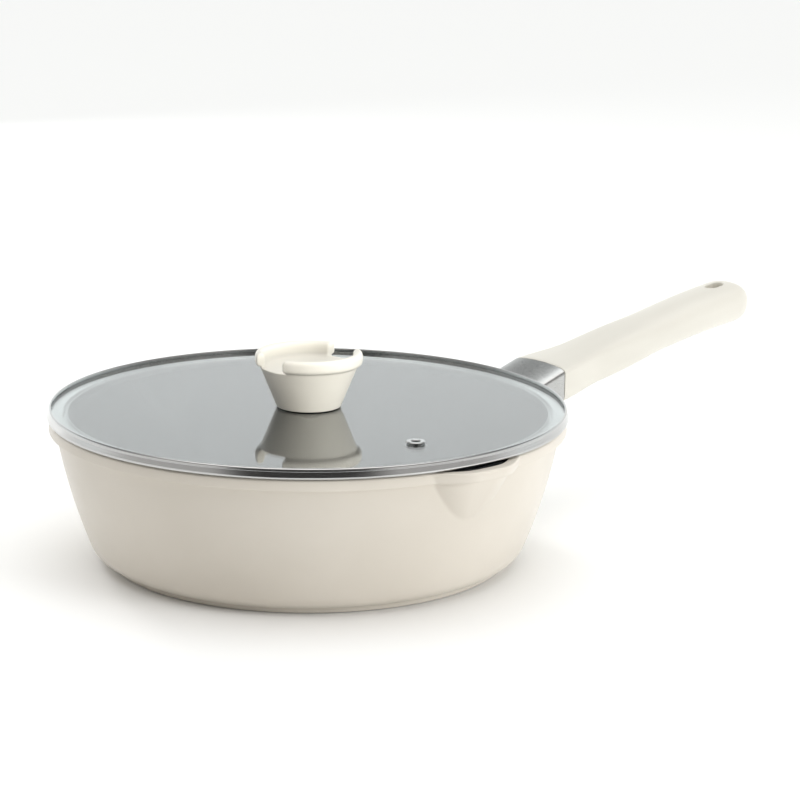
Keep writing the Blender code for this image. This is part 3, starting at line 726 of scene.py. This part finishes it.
def make_grip(resin):
    """The moulded grip, with its hanging hole, the tongue's socket and the screw's bore."""
    edge = 0.3 * MM
    straight = 60
    rounded = 22
    round_start = GRIP_END - END_ROUND
    stations = [blend(GRIP_START + edge, round_start, i / straight) for i in range(straight)]
    for i in range(rounded):
        stations.append(GRIP_END - END_ROUND * (1 - math.sin(math.pi / 2 * i / rounded)))
    sections = []
    for inset, x in ((0.5 * MM, GRIP_START), (0.15 * MM, GRIP_START + 0.1 * MM)):
        half_width, half_height, power, crown = grip_shape(x)
        size = (half_width - inset, half_height - inset)
        sections.append(handle_section(x, grip_centre_z(x), *size, power, crown))
    for x in stations:
        sections.append(handle_section(x, grip_centre_z(x), *grip_shape(x)))
    grip = loft("grip_body", sections, [resin], 40.0)
    cut(grip, hanging_hole_cutter())
    cut(grip, loft("socket_cutter", tongue(SOCKET_START, SOCKET_END), []))
    seat_mouth = 5.6 * MM
    seat = 5.0 * MM
    shank = 2.8 * MM
    below = SCREW_SEAT - 20 * MM
    above = SCREW_SEAT + 7 * MM
    profile = [(0.0, below), (seat_mouth, below), (seat, SCREW_SEAT)]
    profile += [(shank, SCREW_SEAT), (shank, above), (0.0, above)]
    bore = lathe("screw_cutter", profile, [], 48, False)
    bore.location = (SCREW.x, 0.0, 0.0)
    bpy.context.view_layer.update()
    cut(grip, bore)
    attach(grip, "pan")
    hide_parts("handle_grip")
    return grip


# Lid


def make_band(steel, painted_highlight_steel):
    """Rolled steel band: lip over the glass, outer wall, flange and skirt under the glass, the
    flange toned lighter as painted highlight.
    """
    sheet = 0.6 * MM
    bottom = 80.8 * MM
    groove = bottom + 0.3 * MM
    groove_inner = 142.0 * MM
    flange_top = bottom + sheet
    lip_bottom = GLASS_TOP + GAP
    wall_inner = BAND_RADIUS - 0.8 * MM
    lip = 142.8 * MM
    outer = 136.6 * MM
    inner = 133.4 * MM
    turn = 1.2 * MM
    roll = 0.7 * MM
    small = 0.5 * MM
    under = 0.9 * MM
    lean = 0.95 * MM
    fairing = 0.1 * MM
    wall_top = (BAND_RADIUS - lean, BAND_TOP - turn - fairing)
    wall_bottom = (BAND_RADIUS - fairing / 2, groove + under + fairing)
    profile = arc((BAND_RADIUS - lean - turn, BAND_TOP - turn), turn, 90, 12, 9)
    profile += line(wall_top, wall_bottom, 5)
    profile += arc((BAND_RADIUS - under, groove + under), under, 0, -90, 7)
    profile += [(groove_inner, groove), (groove_inner - fairing, bottom)]
    profile += arc((outer + small, bottom - small), small, 90, 180, 5)
    profile += arc((outer - small, SKIRT_BOTTOM + small), small, 0, -90, 5)
    profile += arc((inner + small, SKIRT_BOTTOM + small), small, -90, -180, 5)
    hem = len(profile)
    profile += arc((inner + sheet / 2, bottom), sheet / 2, 180, 0, 5)
    profile += arc((inner + sheet + small, SKIRT_BOTTOM + sheet + small), small, 180, 270, 4)
    profile += arc((outer - sheet - small, SKIRT_BOTTOM + sheet + small), small, -90, 0, 4)
    profile += arc((outer - sheet + small, flange_top - small), small, 180, 90, 4)
    profile += [(wall_inner, flange_top), (wall_inner, lip_bottom)]
    hem_end = len(profile)
    profile.append((lip + 2 * fairing, lip_bottom))
    profile += arc((lip + roll, BAND_TOP - roll), roll, 200, 90, 7)

    # The hem and flange under the glass take a lighter copy of the band's steel: painted highlight
    # for the bright arcs of light there.
    def slot_of(ring):
        return 1 if hem <= ring < hem_end - 1 else 0

    band = lathe("band_ring", profile, [steel, painted_highlight_steel], 360, True, None, slot_of, sharp=50.0)
    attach(band, "lid")
    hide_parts("lid_band")


def make_glass(glass):
    edge = 0.5 * MM
    hole = 5.0 * MM
    inset = 0.1 * MM
    profile = [(GLASS_RADIUS - edge - inset, GLASS_TOP)]
    profile += arc((GLASS_RADIUS - edge, GLASS_TOP - edge), edge, 90, 0, 5)
    profile += arc((GLASS_RADIUS - edge, GLASS_BOTTOM + edge), edge, 0, -90, 5)
    profile += [(GLASS_RADIUS - edge - inset, GLASS_BOTTOM)]
    profile += [(hole + inset, GLASS_BOTTOM), (hole, GLASS_BOTTOM + inset)]
    profile += [(hole, GLASS_TOP - inset), (hole + inset, GLASS_TOP)]
    disc = lathe("glass_disc", profile, [glass], 256, True, sharp=20.0)
    vent_hole = 3.7 * MM
    above = GLASS_TOP + 15 * MM
    below = GLASS_BOTTOM - 12 * MM
    bore = [(0.0, above), (vent_hole, above), (vent_hole, below), (0.0, below)]
    drill = lathe("drill", bore, [], 64, False)
    drill.location = (VENT.x, VENT.y, 0.0)
    bpy.context.view_layer.update()
    cut(disc, drill, sharp=10.0)
    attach(disc, "lid")
    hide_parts("lid_glass")


def make_eyelet(steel):
    """Turned eyelet of the steam vent, with a rolled flange and a flared foot."""
    bore = 2.4 * MM
    barrel = 3.2 * MM
    flange = 5.2 * MM
    lead = 0.7 * MM
    flare = 1.6 * MM
    flare_height = 0.6 * MM
    edge = 0.3 * MM
    low, high = GLASS_TOP + GAP, eyelet_high.z
    foot = eyelet_low.z
    crown = (high - low) / 2
    profile = arc((flange - crown, low + crown), crown, -90, 90, 9)
    profile += arc((bore + lead, high - lead), lead, 90, 180, 7)
    profile += [(bore, foot + 0.4 * MM), (bore + edge, foot), (barrel + flare - 0.2 * MM, foot)]
    profile += [(barrel + flare, foot + flare_height), (barrel, foot + flare_height), (barrel, low)]
    eyelet = lathe("eyelet_ring", list(reversed(profile)), [steel], 96, True)
    eyelet.location = (VENT.x, VENT.y, 0.0)
    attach(eyelet, "lid")
    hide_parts("vent_eyelet")


def knob_profile():
    """Tray floor, round-topped ring, cone, and underside with the seal's recess."""
    half = (KNOB_RADIUS - RING_INNER) / 2
    tray_z = RING_BOTTOM - 1.4 * MM
    tray_middle = (12 * MM, tray_z + 0.1 * MM)
    tray_edge = (21.5 * MM, tray_z + 0.7 * MM)
    fillet = 2.2 * MM
    low = 2.0 * MM
    foot = 0.6 * MM
    recess = KNOB_BOTTOM + 1.0 * MM
    bore = 4.3 * MM
    bore_top = KNOB_BOTTOM + 14.5 * MM
    profile = line((0.0, tray_z), tray_middle, 4)
    profile += line(tray_middle, tray_edge, 4)
    profile += arc((RING_INNER - fillet, tray_z + 0.8 * MM + fillet), fillet, -90, 0, 8)
    profile += arc((RING_INNER + half, KNOB_TOP - half), half, 180, 0, 17)
    profile += arc((KNOB_RADIUS - low, RING_BOTTOM + low), low, 0, -75, 8)
    cone_top = (CONE_TOP_RADIUS, RING_BOTTOM - 0.2 * MM)
    profile += line(cone_top, (CONE_BASE_RADIUS, KNOB_BOTTOM + foot), 12)
    profile += arc((CONE_BASE_RADIUS - foot, KNOB_BOTTOM + foot), foot, 0, -90, 5)
    profile += [(KNOB_RECESS, KNOB_BOTTOM), (KNOB_RECESS, recess)]
    profile += [(bore, recess), (bore, bore_top), (0.0, bore_top)]
    return profile


def make_knob(resin):
    """A turned cone and ring, notched from side to side, with every moulded edge rounded."""
    knob = lathe("knob_body", knob_profile(), [resin], 192, False)
    floor = RING_BOTTOM - 0.5 * MM
    voxel = 0.4 * MM
    sharp_foot = 4 * MM
    sections = []
    for x in (-2 * KNOB_RADIUS, 2 * KNOB_RADIUS):
        corners = []
        for y, z in ((-1, 0), (1, 0), (1, 1), (-1, 1)):
            corners.append((x, y * NOTCH_HALF_WIDTH, floor + z * 2 * KNOB_RADIUS))
        sections.append(corners)
    cut(knob, loft("notch_cutter", sections, []))
    soften(knob, voxel, 16, KNOB_BOTTOM + sharp_foot)
    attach(knob, "lid")
    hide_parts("knob")
    return knob


def make_seal(rubber):
    """The thin ring between knob and glass."""
    bore = 5.8 * MM
    edge = 0.3 * MM
    centre = seal_high.x - edge
    profile = arc((centre, seal_high.z - edge), edge, 90, 0, 4)
    profile += arc((centre, seal_low.z + edge), edge, 0, -90, 4)
    profile += [(bore, seal_low.z), (bore, seal_high.z)]
    seal = lathe("seal_ring", profile, [rubber], 128, True)
    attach(seal, "lid")
    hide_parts("knob_seal_upper")


# Camera, lights and floor

CAMERA_PLACE = Vector((-0.89168, -1.12101, 0.43023))
CAMERA_TURN = math.radians(40.538)
CAMERA_TILT = math.radians(-13.408)
CAMERA_ROLL = math.radians(0.740)
CAMERA_LENS = 118.63
SENSOR_WIDTH = 36.0

# The studio's own directions: ahead, away from the camera, and to its right
STUDIO_TURN = math.radians(40.366)
FORWARD = Vector((math.sin(STUDIO_TURN), math.cos(STUDIO_TURN), 0.0))
RIGHT = Vector((math.cos(STUDIO_TURN), -math.sin(STUDIO_TURN), 0.0))

# Brightness of the studio: its ceiling, its walls, what stands low in front of them, and a pale
# strip along the horizon
CEILING = 1.60
WALL_FRONT = 0.30
WALL_BACK = 0.28
LOW_FRONT = -0.24
LOW_SIDE = 0.26
LOW_BACK = 0.84
HORIZON = 1.0

# Where each of these fades: heights of a direction, or how far ahead it points
CEILING_HEIGHTS = (0.66, 0.9)
LOW_HEIGHTS = (0.34, 0.52)
HORIZON_HEIGHTS = (0.03, 0.12)
WALLS_AHEAD = (-0.4, 0.2)
BACK_AHEAD = (-0.2, 0.5)
FRONT_AHEAD = (-0.92, -0.72)
HORIZON_AHEAD = (-0.9, -0.8)
TINT_AHEAD = (-0.3, 0.5)
WARM = (1.0, 0.985, 0.965, 1.0)
COOL = (0.965, 0.995, 1.0, 1.0)


def make_camera():
    data = bpy.data.cameras.new("camera")
    data.sensor_width = SENSOR_WIDTH
    data.lens = CAMERA_LENS
    data.clip_start = 0.05
    data.clip_end = 60.0
    camera = bpy.data.objects.new("camera", data)
    bpy.context.scene.collection.objects.link(camera)
    turn = Matrix.Rotation(-CAMERA_TURN, 4, "Z")
    tilt = Matrix.Rotation(math.pi / 2 + CAMERA_TILT, 4, "X")
    roll = Matrix.Rotation(CAMERA_ROLL, 4, "Z")
    camera.matrix_world = Matrix.Translation(CAMERA_PLACE) @ turn @ tilt @ roll
    bpy.context.scene.camera = camera


def studio_place(right, ahead, height):
    return RIGHT * right + FORWARD * ahead + Vector((0.0, 0.0, height))


def area_light(name, place, target, size, watts, color):
    """A soft box. Steel and glass show the pale studio round it and not the box itself."""
    data = bpy.data.lights.new(name, "AREA")
    data.shape = "RECTANGLE"
    data.size, data.size_y = size
    data.energy = watts
    data.color = color
    light = bpy.data.objects.new(name, data)
    light.location = place
    light.rotation_euler = (target - place).to_track_quat("-Z", "Y").to_euler()
    light.visible_camera = False
    light.visible_glossy = False
    light.visible_transmission = False
    bpy.context.scene.collection.objects.link(light)
    return light


def link_light(light, piece, state):
    """Keeps a light to one piece (INCLUDE) or off it (EXCLUDE), as a small flag would."""
    group = bpy.data.collections.new(light.name + "_group")
    group.objects.link(piece)
    group.collection_objects[0].light_linking.link_state = state
    light.light_linking.receiver_collection = group


def make_lights(knob, grip):
    """The key from the right, a rim light from behind, and the knob's and grip's own lights."""
    middle = Vector((0.0, 0.0, 0.05))
    knob_foot = Vector((0.0, 0.0, KNOB_BOTTOM))
    key_place = studio_place(1.40, -0.78, 0.42)
    key_size = (0.8, 0.8)
    key = area_light("key", key_place, middle, key_size, 13.5, (0.96, 0.985, 1.0))
    link_light(key, grip, "EXCLUDE")
    grip_key = area_light("grip_key", key_place, middle, key_size, 8.5, (0.96, 0.975, 0.98))
    link_light(grip_key, grip, "INCLUDE")
    edge_place = studio_place(-0.85, 1.47, 0.5)
    area_light("edge", edge_place, middle, (0.35, 1.0), 12.0, (1.0, 1.0, 1.0))
    card_place = studio_place(0.42, -0.68, KNOB_BOTTOM + 0.1)
    card = area_light("knob_card", card_place, knob_foot, (0.5, 0.12), 3.8, (1.0, 0.975, 0.90))
    link_light(card, knob, "INCLUDE")


def make_world():
    """A pale studio: bright backdrop and ceiling, and a quieter side towards the front."""
    world = bpy.data.worlds.new("studio")
    bpy.context.scene.world = world
    world.use_nodes = True
    tree = world.node_tree
    tree.nodes.clear()

    def node(kind, *values, operation=None):
        """A node with its first inputs set or linked, in order."""
        made = tree.nodes.new("ShaderNode" + kind)
        if operation:
            made.operation = operation
        for socket, value in zip(made.inputs, values):
            if isinstance(value, bpy.types.NodeSocket):
                tree.links.new(value, socket)
            else:
                socket.default_value = value
        return made

    def ramp(value, span, start, end):
        made = node("MapRange", value, *span, start, end)
        made.interpolation_type = "SMOOTHSTEP"
        return made.outputs[0]

    def times(first, second):
        return node("Math", first, second, operation="MULTIPLY").outputs[0]

    def plus(first, second):
        return node("Math", first, second, operation="ADD").outputs[0]

    direction = node("TexCoord").outputs["Generated"]
    height = node("SeparateXYZ", direction).outputs["Z"]
    ahead = node("VectorMath", direction, FORWARD, operation="DOT_PRODUCT").outputs["Value"]
    ceiling = ramp(height, CEILING_HEIGHTS, 0.0, CEILING)
    walls = ramp(ahead, WALLS_AHEAD, WALL_FRONT, WALL_BACK)
    low = ramp(height, LOW_HEIGHTS, 1.0, 0.0)
    back = ramp(ahead, BACK_AHEAD, LOW_SIDE, LOW_BACK)
    front = ramp(ahead, FRONT_AHEAD, LOW_FRONT - LOW_SIDE, 0.0)
    studio = plus(plus(ceiling, walls), times(low, plus(back, front)))
    level = ramp(height, HORIZON_HEIGHTS, 1.0, 0.0)
    horizon = times(level, ramp(ahead, HORIZON_AHEAD, 0.0, 1.0))
    strength = plus(studio, times(horizon, plus(HORIZON, times(studio, -1.0))))
    color = node("Mix", ramp(ahead, TINT_AHEAD, 0.0, 1.0))
    color.data_type = "RGBA"
    color.inputs["A"].default_value = WARM
    color.inputs["B"].default_value = COOL
    background = node("Background", color.outputs["Result"], strength)
    output = node("OutputWorld")
    tree.links.new(background.outputs[0], output.inputs["Surface"])


def make_floor():
    size = 14.0
    below = -0.4 * MM
    mesh = bpy.data.meshes.new("floor")
    corners = [(-size, -size, 0.0), (size, -size, 0.0), (size, size, 0.0), (-size, size, 0.0)]
    mesh.from_pydata(corners, [], [(0, 1, 2, 3)])
    pale = (0.96, 0.96, 0.955)
    nodes = Nodes("studio_floor", base_color=pale, roughness=0.85, specular_ior_level=0.1)
    mesh.materials.append(nodes.material)
    floor = bpy.data.objects.new("floor", mesh)
    floor.location = (0.0, 0.0, below)
    bpy.context.scene.collection.objects.link(floor)


enamel = cream_enamel()
nonstick = dark_nonstick()
resin = cream_resin()
band_steel = turned_steel("band_steel", (0.56, 0.56, 0.555), 0.09, 0.17)
# The flange's steel is the band's steel toned lighter: painted highlight standing in for the bright
# arcs of light on the flange under the glass.
flange_painted_highlight_steel = turned_steel("flange_painted_highlight_steel", (0.70, 0.71, 0.71), 0.12, 0.2)
plate_steel = turned_steel("plate_steel", (0.50, 0.50, 0.49), 0.28, 0.42)
small_steel = turned_steel("small_steel", (0.60, 0.60, 0.59), 0.2, 0.34)
sleeve_steel = brushed_steel("sleeve_steel", (0.53, 0.53, 0.52), 0.22, 0.34)
brass = turned_steel("insert_brass", (0.70, 0.53, 0.26), 0.25, 0.4)
glass = clear_glass()
rubber = soft_rubber()

make_pan(enamel, nonstick)
make_plate(plate_steel)
make_ferrule(sleeve_steel)
grip = make_grip(resin)
make_band(band_steel, flange_painted_highlight_steel)
make_glass(glass)
make_eyelet(band_steel)
knob = make_knob(resin)
make_seal(rubber)

for name, material, slot in (
    ("handle_screw", small_steel, "screw_steel"),
    ("handle_lock_washer", small_steel, "screw_steel"),
    ("handle_flat_washer", small_steel, "screw_steel"),
    ("vent_washer", small_steel, "screw_steel"),
    ("vent_gasket", rubber, "seal_rubber"),
    ("knob_insert", brass, "insert_brass"),
    ("knob_seal_lower", rubber, "seal_rubber"),
    ("knob_washer", small_steel, "screw_steel"),
    ("knob_lock_washer", small_steel, "screw_steel"),
    ("knob_screw", small_steel, "screw_steel"),
):
    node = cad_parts[name]
    for material_slot in node.material_slots:
        material_slot.material = material

make_camera()
make_world()
make_floor()
make_lights(knob, grip)
bpy.context.scene.view_settings.view_transform = "Standard"
